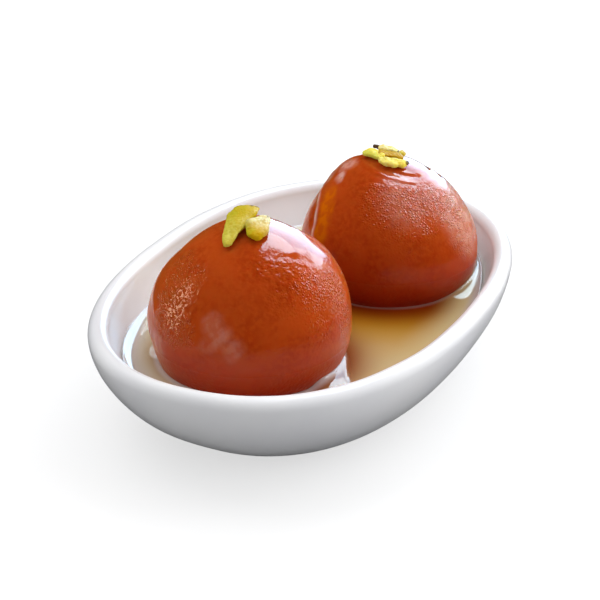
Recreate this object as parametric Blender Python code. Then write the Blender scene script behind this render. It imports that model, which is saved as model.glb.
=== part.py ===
"""Two gulab jamun in sugar syrup, in the oval white dish they are served in, with chopped pistachio.

Metres, +Z up. The origin is on the table under the middle of the dish, and +X runs along the dish.
"""

import math
from collections import namedtuple

import bmesh
import bpy

# The dish: an oval with full ends, a rolled lip and walls that curve in to a flat foot.
DISH_LENGTH = 0.1293
DISH_WIDTH = 0.0874
DISH_HEIGHT = 0.0262
OVAL_POWER = 2.275
LIP_RADIUS = 0.0023
FOOT_LENGTH = 0.0723
FOOT_WIDTH = 0.0451
OUTER_POWER = 1.6

# The hollow of the dish.
FLOOR_HEIGHT = 0.0042
FLOOR_LENGTH = 0.0673
FLOOR_WIDTH = 0.0442
INNER_POWER = 1.43

# The syrup lies in the hollow up to this height above the table.
SYRUP_LEVEL = 0.0166

# Pieces that touch keep this much air between them.
GAP = 0.0003

# How finely round shapes are cut.
OVAL_SIDES = 64
WALL_STEPS = 10
LIP_STEPS = 6
JAMUN_SIDES = 36
JAMUN_ROWS = 16
SLIVER_SIDES = 8
SLIVER_STEPS = 8
SMOOTH_UP_TO = math.radians(40)
LEAN_ROUNDS = 12

# A soft ball. Radius is half its width at its widest level z, top and bottom are how far it rises and
# sags from there, and its crown leans over by lean_x and lean_y. A power of 2 is an ellipsoid.
Jamun = namedtuple("Jamun", "name x y z radius top bottom power lean_x lean_y")

JAMUNS = (
    Jamun("jamun_front", -0.02775, 0.0019, 0.0270, 0.0230, 0.02248, 0.02245, 1.936, 0.0014, -0.0004),
    Jamun("jamun_back", 0.0275, -0.00915, 0.02394, 0.02214, 0.0233, 0.0194, 1.852, 0.0007, 0.0030),
)

# A cut of nut on one of JAMUNS: where it lies from the ball's middle, its heading in degrees, its
# size, the share by which its far half is wider, how far its middle bows to its left, and how high
# its near and far ends lie above the ball.
Sliver = namedtuple("Sliver", "name jamun x y heading length width thickness flare bow near far")

SLIVERS = (
    Sliver("pistachio_long", 0, -0.0021, 0.0018, 7, 0.0146, 0.0050, 0.0015, 0.20, 0.0004, 0.0004, 0.0016),
    Sliver("pistachio_chunk", 0, -0.0020, -0.0032, 4, 0.0080, 0.0045, 0.0021, -0.10, 0.0, 0.0004, 0.0004),
    Sliver("pistachio_left", 1, -0.0006, 0.0043, 62, 0.0064, 0.0032, 0.0013, 0.10, 0.0002, 0.0004, 0.0004),
    Sliver("pistachio_bowed", 1, -0.0014, -0.0015, -62, 0.0068, 0.0024, 0.0014, -0.1, -0.0008, 0.0004, 0.0005),
    Sliver("pistachio_upper", 1, 0.0024, 0.0018, -84, 0.0052, 0.0030, 0.0013, -0.10, 0.0003, 0.0010, 0.0004),
    Sliver("pistachio_dark", 1, 0.0044, 0.0057, 84, 0.0040, 0.0017, 0.0010, -0.15, 0.0002, 0.0006, 0.0010),
    Sliver("pistachio_small", 1, 0.0040, -0.0016, -25, 0.0030, 0.0017, 0.0011, 0.0, 0.0, 0.0004, 0.0004),
)

# How fast a cut of nut narrows and thins towards its ends, and how square its section is.
NARROWING = 0.8
THINNING = 0.5
SECTION_POWER = 0.8


def power_of(value, power):
    """A power that keeps the sign of its base, so that an oval closes over all four quarters."""
    return math.copysign(abs(value) ** power, value)


def oval(half_length, half_width, z):
    """One level outline: |x / half_length| ** p + |y / half_width| ** p = 1, with p the oval power."""
    turns = (2 * math.pi * i / OVAL_SIDES for i in range(OVAL_SIDES))
    exponent = 2 / OVAL_POWER
    return [
        (half_length * power_of(math.cos(t), exponent), half_width * power_of(math.sin(t), exponent), z)
        for t in turns
    ]


def wall(low, high, power, steps):
    """Outlines up a wall from low to high, each (half_length, half_width, z).

    The section is a quarter of a superellipse: it leaves the flat level and meets the lip upright.
    """
    outlines = []
    for i in range(steps + 1):
        t = 0.5 * math.pi * i / steps
        rise = 1 - math.cos(t) ** (2 / power)
        spread = math.sin(t) ** (2 / power)
        half_length = low[0] + (high[0] - low[0]) * spread
        half_width = low[1] + (high[1] - low[1]) * spread
        outlines.append((half_length, half_width, low[2] + (high[2] - low[2]) * rise))
    return outlines


def lip():
    """Outlines over the rolled lip, from the outer wall to the inner one."""
    outlines = []
    for i in range(1, LIP_STEPS):
        t = math.pi * i / LIP_STEPS
        out = LIP_RADIUS * math.cos(t)
        half_length = DISH_LENGTH / 2 - LIP_RADIUS + out
        half_width = DISH_WIDTH / 2 - LIP_RADIUS + out
        outlines.append((half_length, half_width, DISH_HEIGHT - LIP_RADIUS + LIP_RADIUS * math.sin(t)))
    return outlines


def hollow(inset):
    """Outlines up the inner wall, moved in and up from the glaze by inset."""
    low = (FLOOR_LENGTH / 2 - inset, FLOOR_WIDTH / 2 - inset, FLOOR_HEIGHT + inset)
    half_length = DISH_LENGTH / 2 - 2 * LIP_RADIUS - inset
    half_width = DISH_WIDTH / 2 - 2 * LIP_RADIUS - inset
    high = (half_length, half_width, DISH_HEIGHT - LIP_RADIUS)
    return wall(low, high, INNER_POWER, WALL_STEPS)


def new_material(name, colour, roughness):
    material = bpy.data.materials.new(name)
    material.use_nodes = True
    shader = material.node_tree.nodes["Principled BSDF"]
    shader.inputs["Base Color"].default_value = (*colour, 1)
    shader.inputs["Roughness"].default_value = roughness
    shader.inputs["Metallic"].default_value = 0
    return material


def new_object(name, mesh, material):
    obj = bpy.data.objects.new(name, mesh)
    bpy.context.scene.collection.objects.link(obj)
    if material:
        mesh.materials.append(material)
    mesh.shade_smooth()
    mesh.set_sharp_from_angle(angle=SMOOTH_UP_TO)
    return obj


def skin(name, rings, first_tip=None, last_tip=None):
    """A closed mesh over rings of equally many points. Each end is a flat face, or runs to a tip."""
    shape = bmesh.new()
    loops = [[shape.verts.new(point) for point in ring] for ring in rings]
    sides = len(loops[0])
    for below, above in zip(loops, loops[1:]):
        for i in range(sides):
            j = (i + 1) % sides
            shape.faces.new((below[i], below[j], above[j], above[i]))
    for loop, tip, order in ((loops[0], first_tip, -1), (loops[-1], last_tip, 1)):
        if tip is None:
            shape.faces.new(loop[::order])
            continue
        end = shape.verts.new(tip)
        for i in range(sides):
            shape.faces.new((loop[i], loop[(i + 1) % sides], end)[::order])
    bmesh.ops.recalc_face_normals(shape, faces=shape.faces)
    mesh = bpy.data.meshes.new(name)
    shape.to_mesh(mesh)
    shape.free()
    return mesh


def make_bowl(material):
    foot = (FOOT_LENGTH / 2, FOOT_WIDTH / 2, 0)
    shoulder = (DISH_LENGTH / 2, DISH_WIDTH / 2, DISH_HEIGHT - LIP_RADIUS)
    outlines = wall(foot, shoulder, OUTER_POWER, WALL_STEPS) + lip() + hollow(0)[::-1]
    mesh = skin("bowl", [oval(*outline) for outline in outlines])
    return new_object("bowl", mesh, material)


def jamun_mesh(jamun, grow):
    """The ball's skin, moved out all over by grow."""
    exponent = 2 / jamun.power

    def point(latitude, turn):
        up = power_of(math.sin(latitude), exponent)
        reach = (jamun.radius + grow) * math.cos(latitude) ** exponent
        lean = max(up, 0) ** 2
        height = (jamun.top if up > 0 else jamun.bottom) + grow
        x = jamun.x + jamun.lean_x * lean + reach * math.cos(turn)
        y = jamun.y + jamun.lean_y * lean + reach * math.sin(turn)
        return (x, y, jamun.z + height * up)

    latitudes = [math.pi * (i / JAMUN_ROWS - 0.5) for i in range(1, JAMUN_ROWS)]
    turns = [2 * math.pi * i / JAMUN_SIDES for i in range(JAMUN_SIDES)]
    rings = [[point(latitude, turn) for turn in turns] for latitude in latitudes]
    return skin(jamun.name, rings, point(-math.pi / 2, 0), point(math.pi / 2, 0))


def crown_height(jamun, x, y):
    """The height of the ball's upper side over a point x, y from its middle.

    The lean depends on the height that is looked for, so both are settled by turns.
    """
    up = 1
    for _ in range(LEAN_ROUNDS):
        reach = math.hypot(x - jamun.lean_x * up * up, y - jamun.lean_y * up * up) / jamun.radius
        up = max(1 - reach**jamun.power, 0) ** (1 / jamun.power)
    return jamun.z + jamun.top * up


def make_syrup(cutters, material):
    """The liquid in the hollow, with the balls cut out of it."""
    levels = [outline for outline in hollow(GAP) if outline[2] < SYRUP_LEVEL]
    above = next(outline for outline in hollow(GAP) if outline[2] >= SYRUP_LEVEL)
    share = (SYRUP_LEVEL - levels[-1][2]) / (above[2] - levels[-1][2])
    levels.append(tuple(low + (high - low) * share for low, high in zip(levels[-1], above)))
    syrup = new_object("syrup", skin("syrup", [oval(*level) for level in levels]), material)
    for cutter in cutters:
        cut = syrup.modifiers.new("cut " + cutter.name, "BOOLEAN")
        cut.operation = "DIFFERENCE"
        cut.solver = "EXACT"
        cut.object = cutter
    return syrup


def make_cutter(jamun):
    cutter = new_object(jamun.name + "_space", jamun_mesh(jamun, GAP), None)
    cutter.hide_render = True
    cutter.display_type = "WIRE"
    return cutter


def make_sliver(sliver, material):
    """A cut of nut that follows the ball under it. Its section is an oval that shrinks to both ends."""
    jamun = JAMUNS[sliver.jamun]
    heading = math.radians(sliver.heading)

    def place(along, across, up):
        share = 2 * along / sliver.length
        across += sliver.bow * (1 - share * share)
        x = sliver.x + along * math.cos(heading) - across * math.sin(heading)
        y = sliver.y + along * math.sin(heading) + across * math.cos(heading)
        lift = sliver.near + (sliver.far - sliver.near) * (share + 1) / 2
        return (jamun.x + x, jamun.y + y, crown_height(jamun, x, y) + lift + up)

    rings = []
    for i in range(1, SLIVER_STEPS):
        latitude = math.pi * (i / SLIVER_STEPS - 0.5)
        along = math.sin(latitude)
        half_width = sliver.width / 2 * math.cos(latitude) ** NARROWING * (1 + sliver.flare * along)
        half_thickness = sliver.thickness / 2 * math.cos(latitude) ** THINNING
        turns = (2 * math.pi * j / SLIVER_SIDES for j in range(SLIVER_SIDES))
        middle = sliver.thickness / 2
        rings.append(
            [
                place(
                    along * sliver.length / 2,
                    half_width * math.cos(turn),
                    middle + half_thickness * power_of(math.sin(turn), SECTION_POWER),
                )
                for turn in turns
            ]
        )
    tips = [place(end * sliver.length / 2, 0, sliver.thickness / 2) for end in (-1, 1)]
    return new_object(sliver.name, skin(sliver.name, rings, *tips), material)


def build():
    for obj in list(bpy.data.objects):
        bpy.data.objects.remove(obj)

    glaze = new_material("white_glaze", (0.83, 0.82, 0.80), 0.12)
    crust = new_material("jamun_crust", (0.38, 0.09, 0.02), 0.30)
    liquid = new_material("sugar_syrup", (0.74, 0.50, 0.20), 0.05)
    nut = new_material("pistachio", (0.62, 0.60, 0.10), 0.55)
    nut_skin = new_material("pistachio_skin", (0.16, 0.10, 0.07), 0.60)

    make_bowl(glaze)
    for jamun in JAMUNS:
        new_object(jamun.name, jamun_mesh(jamun, 0), crust)
    make_syrup([make_cutter(jamun) for jamun in JAMUNS], liquid)
    for sliver in SLIVERS:
        make_sliver(sliver, nut_skin if sliver.name == "pistachio_dark" else nut)


build()
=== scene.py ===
# %% [markdown]
# # Gulab jamun in an oval white dish
#
# Two balls of milk dough, fried dark and soaked in sugar syrup, stand in a small glazed dish with the
# syrup a finger high round them, and cut pistachio lies on their crowns. The plain solids of this part
# already have the right sizes and places. This lesson gives each of them its fine surface and finish:
# first the dish, then the sweets, the syrup and the nuts, and last the table, the lamps and the camera.

# %% The fixed model
import math
from collections import namedtuple

import bpy
import numpy as np
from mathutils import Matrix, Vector


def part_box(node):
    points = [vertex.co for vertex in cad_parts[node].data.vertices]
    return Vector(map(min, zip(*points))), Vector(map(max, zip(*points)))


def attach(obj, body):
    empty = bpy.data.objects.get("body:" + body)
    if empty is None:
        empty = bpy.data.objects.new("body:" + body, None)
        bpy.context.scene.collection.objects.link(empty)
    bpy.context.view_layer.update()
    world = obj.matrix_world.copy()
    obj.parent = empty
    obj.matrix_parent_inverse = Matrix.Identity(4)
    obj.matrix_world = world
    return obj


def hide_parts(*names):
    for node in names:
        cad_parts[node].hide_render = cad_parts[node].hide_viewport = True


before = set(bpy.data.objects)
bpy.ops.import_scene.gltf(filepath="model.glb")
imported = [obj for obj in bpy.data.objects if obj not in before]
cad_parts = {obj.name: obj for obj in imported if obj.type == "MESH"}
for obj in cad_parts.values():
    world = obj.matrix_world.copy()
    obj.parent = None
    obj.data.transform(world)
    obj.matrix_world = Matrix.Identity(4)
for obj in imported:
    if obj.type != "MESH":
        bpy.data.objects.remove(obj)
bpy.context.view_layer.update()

print("solids:", ", ".join(sorted(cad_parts)))

# %% [markdown]
# ## Helpers for shapes
#
# Every piece here is a grid of points worked out by formula: rows that run up the piece, and turns that
# run round it. Such a grid could be modelled by hand from a primitive, but a formula keeps the true
# sizes, closes its own seam, and can be made finer by changing one number.


# %% Curves and grids
def signed_power(value, power):
    """The power of a value's size, given back with the value's own sign."""
    return np.sign(value) * np.abs(value) ** power


def ease(low, high, value):
    """0 below low, 1 above high, and 3 t^2 - 2 t^3 between them, with t the share of the way."""
    share = np.clip((value - low) / (high - low), 0, 1)
    return share * share * (3 - 2 * share)


def turns_of(count):
    """Evenly spaced angles once round, without the last one, which would repeat the first."""
    return np.linspace(0, 2 * np.pi, count, endpoint=False)


def tube_faces(rows, sides):
    """Corner numbers of the four-sided faces between neighbouring rows, each row closed on itself."""
    here = np.arange(rows * sides).reshape(rows, sides)
    beside = np.roll(here, -1, axis=1)
    return np.stack([here[:-1], beside[:-1], beside[1:], here[1:]], axis=-1).reshape(-1, 4)


def fan_faces(ring, tip):
    """Corner numbers of the triangles that join a closed ring to one tip."""
    return np.stack([ring, np.roll(ring, -1), np.full_like(ring, tip)], axis=-1)


def placed(name, data):
    """A new object made of this data, in the scene."""
    made = bpy.data.objects.new(name, data)
    bpy.context.scene.collection.objects.link(made)
    return made


def new_piece(name, points, faces):
    """A smooth mesh piece at the origin, fixed to the root. Faces is a list of arrays of corners."""
    mesh = bpy.data.meshes.new(name)
    corners = [corner for block in faces for corner in block.tolist()]
    mesh.from_pydata(points.tolist(), [], corners)
    mesh.shade_smooth()
    mesh.update()
    print(f"{name}: {len(mesh.vertices)} points, {len(mesh.loops) - 2 * len(mesh.polygons)} triangles")
    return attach(placed(name, mesh), "root")


def closed_piece(name, rings, first_tip, last_tip):
    """A closed piece over rings of points that run upwards or outwards, with a tip at either end."""
    rows, sides = rings.shape[:2]
    points = np.concatenate([rings.reshape(-1, 3), [first_tip, last_tip]])
    ring = np.arange(sides)
    first = fan_faces(ring, rows * sides)[:, ::-1]
    last = fan_faces(ring + (rows - 1) * sides, rows * sides + 1)
    return new_piece(name, points, [tube_faces(rows, sides), first, last])


def outward(rings):
    """Unit normals of a grid: the cross product of its steps round and its steps up."""
    round_step = np.roll(rings, -1, axis=1) - np.roll(rings, 1, axis=1)
    up_step = np.gradient(rings, axis=0)
    normal = np.cross(round_step, up_step)
    return normal / np.maximum(np.linalg.norm(normal, axis=-1, keepdims=True), 1e-12)


def store(piece, name, values):
    """Keeps one number for each point on the mesh, where a material can read it."""
    layer = piece.data.attributes.new(name, "FLOAT", "POINT")
    layer.data.foreach_set("value", np.asarray(values, np.float32).ravel())


# %% [markdown]
# ## Helpers for unevenness
#
# Nothing that is fried, fired or chopped is even. Two kinds of pattern cover it: swells, which are many
# plane waves added up, for lumps and ripples, and grains, which tell how far each point is from the
# nearest of many scattered seeds, for pores and crystals. Both read the point's place in space, so they
# have no seam, and both start from a fixed seed, so they are the same each time.


# %% Swells and grains
WAVE_LENGTHS = (0.7, 1.5)  # shortest and longest wave, as shares of the wavelength asked for
SEED_COUNT = 8191
CUBE_PRIMES = np.array([73856093, 19349663, 83492791])  # they scatter neighbouring cubes over the seeds


def swell(points, wavelength, seed, stretch=(1, 1, 1), count=28):
    """Many sine waves added up, each with its own direction, length and phase, so that the spread is 1.

    Stretch lengthens the pattern along an axis.
    """
    random = np.random.default_rng(seed)
    direction = random.normal(size=(count, 3))
    direction /= np.linalg.norm(direction, axis=1, keepdims=True)
    lengths = wavelength * random.uniform(*WAVE_LENGTHS, (count, 1))
    phase = random.uniform(0, 2 * np.pi, count)
    angle = (points / np.array(stretch)) @ (2 * np.pi * direction / lengths).T + phase
    return np.sin(angle).sum(axis=-1) * math.sqrt(2 / count)


def grain(points, size, seed):
    """0 at a seed and about 1 half way to the next: the distance to the nearest seed over the size.

    Space is cut into cubes of that size with one seed in each, and a point looks through its own cube
    and the 26 round it.
    """
    random = np.random.default_rng(seed)
    seeds = random.uniform(size=(SEED_COUNT, 3))
    cell = np.floor(points / size).astype(np.int64)
    nearest = np.full(points.shape[:-1], np.inf)
    for step in np.ndindex(3, 3, 3):
        other = cell + np.array(step) - 1
        number = (other * CUBE_PRIMES).sum(axis=-1) % SEED_COUNT
        gap = np.linalg.norm(points / size - other - seeds[number], axis=-1)
        nearest = np.minimum(nearest, gap)
    return nearest


# %% [markdown]
# ## Helpers for materials
#
# A material is a small net of nodes. Writing each node as one short call, with its inputs by name,
# keeps the net readable. Two effects are used by several finishes here: a slow drift of tone, and a
# fine grain that the light catches. Each is a node group of its own, placed in a finish with that
# finish's own numbers.


# %% Nodes by name
def plug(tree, socket, value):
    """Links a socket to another one, or sets it. A colour is given as its red, green and blue."""
    if isinstance(value, bpy.types.NodeSocket):
        tree.links.new(value, socket)
    else:
        socket.default_value = (*value, 1) if socket.type == "RGBA" else value


def add(tree, kind, settings=None, **inputs):
    """One new shader node. Settings are its own choices; inputs are values or the sockets they come from."""
    made = tree.nodes.new("ShaderNode" + kind)
    for name, value in (settings or {}).items():
        setattr(made, name, value)
    for name, value in inputs.items():
        plug(tree, made.inputs[int(name[1:]) if name[1:].isdigit() else name.replace("_", " ")], value)
    return made


def between(tree, value, low, high, new_low=0.0, new_high=1.0):
    """A value's share of the way from low to high, eased, as a number from new_low to new_high."""
    limits = {"From_Min": low, "From_Max": high, "To_Min": new_low, "To_Max": new_high}
    made = add(tree, "MapRange", {"interpolation_type": "SMOOTHSTEP"}, Value=value, **limits)
    return made.outputs["Result"]


def times(tree, one, other):
    """The product of two numbers."""
    return add(tree, "Math", {"operation": "MULTIPLY"}, _0=one, _1=other).outputs["Value"]


def plus(tree, one, other):
    """The sum of two numbers."""
    return add(tree, "Math", {"operation": "ADD"}, _0=one, _1=other).outputs["Value"]


def mixed(tree, share, first, second):
    """One colour turning into another as the share goes from 0 to 1."""
    return add(tree, "Mix", {"data_type": "RGBA"}, _0=share, _6=first, _7=second).outputs[2]


def kept(tree, name):
    """The number that a piece keeps under this name at each of its points."""
    return add(tree, "Attribute", {"attribute_name": name}).outputs["Fac"]


def place(tree):
    """The point's place on the table, in metres."""
    return add(tree, "TexCoord").outputs["Object"]


def new_finish(name):
    """An empty material with its shader: gives back the material, its node tree and the shader."""
    finish = bpy.data.materials.new(name)
    finish.use_nodes = True
    return finish, finish.node_tree, finish.node_tree.nodes["Principled BSDF"]


def feed(tree, shader, **inputs):
    """Sets the shader's inputs by name, from constants or from sockets."""
    for name, value in inputs.items():
        plug(tree, shader.inputs[name.replace("_", " ")], value)


# %% The two shared effects
def new_group(name, inputs, output):
    """A node group with number inputs of the given values, the point's place, and one number out."""
    group = bpy.data.node_groups.new(name, "ShaderNodeTree")
    group.interface.new_socket("Place", in_out="INPUT", socket_type="NodeSocketVector")
    for label, value in inputs.items():
        socket = group.interface.new_socket(label, in_out="INPUT", socket_type="NodeSocketFloat")
        socket.default_value = value
    group.interface.new_socket(output, in_out="OUTPUT", socket_type="NodeSocketFloat")
    entry = group.nodes.new("NodeGroupInput")
    leave = group.nodes.new("NodeGroupOutput")
    return group, entry.outputs, leave.inputs


def make_drift():
    """Tone drift: cloudy noise of a chosen scale, spread out to fill 0 to 1."""
    group, come, go = new_group("tone drift", {"Scale": 100.0, "Detail": 3.0}, "Drift")
    noise = add(group, "TexNoise", Vector=come["Place"], Scale=come["Scale"], Detail=come["Detail"])
    group.links.new(between(group, noise.outputs["Fac"], 0.3, 0.7), go["Drift"])
    return group


def make_sparkle():
    """Fine grain: rounded cells of a chosen scale with noise over them, as a height from 0 to 1."""
    group, come, go = new_group("fine grain", {"Scale": 1500.0, "Roughness": 0.5}, "Height")
    cells = add(group, "TexVoronoi", {"feature": "SMOOTH_F1"}, Vector=come["Place"], Scale=come["Scale"])
    noise = add(group, "TexNoise", Vector=come["Place"], Scale=come["Scale"], Detail=2.0)
    rough = times(group, noise.outputs["Fac"], come["Roughness"])
    height = add(group, "Math", {"operation": "SUBTRACT"}, _0=rough, _1=cells.outputs["Distance"])
    group.links.new(height.outputs["Value"], go["Height"])
    return group


DRIFT = make_drift()
SPARKLE = make_sparkle()


def drift(tree, scale, detail=3.0):
    """The tone drift group at this place in a material, with its own scale."""
    made = add(tree, "Group", {"node_tree": DRIFT}, Place=place(tree), Scale=scale, Detail=detail)
    return made.outputs["Drift"]


def sparkle(tree, scale, roughness=0.5):
    """The fine grain group at this place in a material, with its own scale."""
    made = add(tree, "Group", {"node_tree": SPARKLE}, Place=place(tree), Scale=scale, Roughness=roughness)
    return made.outputs["Height"]


# %% [markdown]
# ## The dish
#
# The real dish is cast in clay, dipped in white glaze and fired: an oval with full ends, a thick rolled
# lip, and walls that sweep in to a flat foot. It could be a turned shape scaled to an oval, but then
# its lip would be thick at the ends and thin at the sides. Here one section, made of two curves and a
# half round, is carried along ovals that keep the lip equally thick all round.

# %% The sizes of the dish
# FOOT and FLOOR are outlines: half a length, half a width and a height, in metres like all that follows.
dish_low, dish_high = (np.array(corner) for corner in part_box("bowl"))
DISH_LENGTH, DISH_WIDTH, DISH_HEIGHT = dish_high - dish_low
OVAL_POWER = 2.275
LIP_RADIUS = 0.0023
FOOT = (0.03615, 0.02255, 0.0)
OUTER_POWER = 1.6
FLOOR = (0.03365, 0.0221, 0.0042)
INNER_POWER = 1.43
print(f"dish {DISH_LENGTH * 1000:.1f} x {DISH_WIDTH * 1000:.1f} x {DISH_HEIGHT * 1000:.1f} mm")


# %% The section of the dish
def ovals(outlines, turns):
    """Level outlines |x / length| ** p + |y / width| ** p = 1, for rows of (length, width, height)."""
    length, width, height = np.asarray(outlines).T
    x = np.outer(length, signed_power(np.cos(turns), 2 / OVAL_POWER))
    y = np.outer(width, signed_power(np.sin(turns), 2 / OVAL_POWER))
    z = np.broadcast_to(height[:, None], x.shape)
    return np.stack([x, y, z], axis=-1)


def wall(low, high, power, steps):
    """Outlines from low to high along a quarter of a superellipse, which ends upright.

    The rise is 1 - cos(t) ** (2 / p) and the spread is sin(t) ** (2 / p), for t from 0 to a right angle.
    """
    t = np.linspace(0, np.pi / 2, steps)
    rise = 1 - np.cos(t) ** (2 / power)
    spread = np.sin(t) ** (2 / power)
    shares = np.stack([spread, spread, rise], axis=-1)
    return np.array(low) + (np.array(high) - np.array(low)) * shares


def inner_wall(outset, steps):
    """Outlines up the glazed hollow, moved outwards and down into the wall by outset."""
    low = np.array(FLOOR) + (outset, outset, -outset)
    reach = outset - 2 * LIP_RADIUS
    high = (DISH_LENGTH / 2 + reach, DISH_WIDTH / 2 + reach, DISH_HEIGHT - LIP_RADIUS)
    return wall(low, high, INNER_POWER, steps)


def rolled_lip(steps):
    """Outlines over the lip: a half round, from the outer wall to the inner one."""
    t = np.linspace(0, np.pi, steps)[1:-1]
    out = LIP_RADIUS * (np.cos(t) - 1)
    height = DISH_HEIGHT - LIP_RADIUS + LIP_RADIUS * np.sin(t)
    return np.stack([DISH_LENGTH / 2 + out, DISH_WIDTH / 2 + out, height], axis=-1)


def flat(outline, shares):
    """Outlines of a flat face, as shares of its edge."""
    return np.array([(outline[0] * share, outline[1] * share, outline[2]) for share in shares])


# %% The dish as one closed surface
DISH_TURNS = 320
WALL_ROWS = 64
LIP_ROWS = 26
FLAT_SHARES = np.linspace(0.08, 0.985, 8)
GLAZE_WAVE = 0.00005
GLAZE_WAVE_LENGTH = 0.021
GLAZE_WAVE_FROM = (0.001, 0.006)  # the waves grow in between these heights


def make_dish():
    """Underside, outer wall, lip, hollow and floor in one run of rings, with slow waves in the glaze."""
    shoulder = (DISH_LENGTH / 2, DISH_WIDTH / 2, DISH_HEIGHT - LIP_RADIUS)
    outlines = [flat(FOOT, FLAT_SHARES), wall(FOOT, shoulder, OUTER_POWER, WALL_ROWS), rolled_lip(LIP_ROWS)]
    outlines += [inner_wall(0, WALL_ROWS)[::-1], flat(FLOOR, FLAT_SHARES[::-1])]
    rings = ovals(np.concatenate(outlines), turns_of(DISH_TURNS))
    wave = swell(rings, GLAZE_WAVE_LENGTH, 5) * ease(*GLAZE_WAVE_FROM, rings[..., 2])
    rings = rings + outward(rings) * (GLAZE_WAVE * np.clip(wave, -2, 1)[..., None] - GLAZE_WAVE)
    return closed_piece("dish", rings, (0, 0, 0), (0, 0, FLOOR[2]))


dish = make_dish()
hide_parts("bowl")

# %% [markdown]
# ### White glaze
#
# Fired glaze is a hard clear glass over a white body. It pools a little thicker in some places than in
# others, so its tone drifts very slowly, and its gloss is not perfect: the surface has a faint swell
# and a few soft patches. The flat foot is wiped free of glaze before firing, so it is matt and a shade
# warmer. Height tells the foot from the glazed wall.

# %% The glaze
# Colours here and below are red, green and blue, from 0 to 1, as shares of the light given back.
GLAZE_TONES = ((0.875, 0.88, 0.905), (0.92, 0.925, 0.935))
CLAY_TONES = ((0.70, 0.67, 0.62), (0.78, 0.76, 0.72))
GLAZE_FROM = (0.00015, 0.0007)
GLAZE_ROUGHNESS = (0.28, 0.34)
CLAY_ROUGHNESS = 0.75


def glaze_finish():
    """White body under clear glass, with a matt foot."""
    finish, tree, shader = new_finish("white glaze")
    height = add(tree, "SeparateXYZ", Vector=place(tree)).outputs["Z"]
    glazed = between(tree, height, *GLAZE_FROM)
    tone = mixed(tree, drift(tree, 45.0), *GLAZE_TONES)
    body = mixed(tree, sparkle(tree, 2600.0, 0.9), *CLAY_TONES)
    roughness = between(tree, drift(tree, 60.0), 0.0, 1.0, *GLAZE_ROUGHNESS)
    roughness = add(tree, "Mix", _0=glazed, _2=CLAY_ROUGHNESS, _3=roughness).outputs[0]
    bump = add(tree, "Bump", Height=drift(tree, 330.0, 1.0), Strength=0.08, Distance=0.0001)
    feed(tree, shader, Base_Color=mixed(tree, glazed, body, tone), Roughness=roughness, IOR=1.5)
    feed(tree, shader, Normal=bump.outputs["Normal"], Specular_IOR_Level=0.15)
    feed(tree, shader, Coat_Weight=times(tree, glazed, 0.5), Coat_Roughness=0.28)
    return finish


dish.data.materials.append(glaze_finish())

# %% [markdown]
# ## The sweets
#
# Each ball is rolled by hand and swells in the fat, so it is a soft ellipsoid that leans a little. The
# crust is finely pitted where the dough is bare, puckered into small wrinkles where it has shrunk, and
# mirror smooth where thick syrup has run over it. A sculpted mesh could show this, but a formula can be
# read and changed: a ball, and on it three kinds of relief, each let in by a mask. A mask is a set of
# soft round spots on the ball, each given by its turn round the ball, its height angle and its size.

# %% The two balls
Ball = namedtuple("Ball", "number name x y z radius top bottom power lean_x lean_y seed")

BALLS = (
    Ball(0, "jamun_front", -0.02775, 0.0019, 0.0270, 0.0230, 0.02248, 0.02245, 1.936, 0.0014, -0.0004, 11),
    Ball(1, "jamun_back", 0.0275, -0.00915, 0.02394, 0.02214, 0.0233, 0.0194, 1.852, 0.0007, 0.0030, 47),
)
BALL_TURNS = 440
ROWS_BELOW = 34
ROWS_ABOVE = 186
WATERLINE = math.radians(-32)


def ball_grid():
    """Height angles and turns of the points on a ball, with most rows above the syrup."""
    below = np.linspace(-np.pi / 2, WATERLINE, ROWS_BELOW + 1)[1:-1]
    above = np.linspace(WATERLINE, np.pi / 2, ROWS_ABOVE + 1)[:-1]
    return np.meshgrid(np.concatenate([below, above]), turns_of(BALL_TURNS), indexing="ij")


def ball_points(ball, tilt, turn):
    """The bare ball: a superellipse turned round, whose crown leans over with the square of height."""
    up = signed_power(np.sin(tilt), 2 / ball.power)
    reach = ball.radius * np.abs(np.cos(tilt)) ** (2 / ball.power)
    lean = np.maximum(up, 0) ** 2
    x = ball.x + ball.lean_x * lean + reach * np.cos(turn)
    y = ball.y + ball.lean_y * lean + reach * np.sin(turn)
    z = ball.z + np.where(up > 0, ball.top, ball.bottom) * up
    return np.stack([x, y, z], axis=-1)


def facing(tilt, turn):
    """Unit vectors from the middle of a ball towards a height angle and a turn, in radians."""
    flat_part = np.cos(tilt)
    return np.stack([flat_part * np.cos(turn), flat_part * np.sin(turn), np.sin(tilt)], axis=-1)
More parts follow.
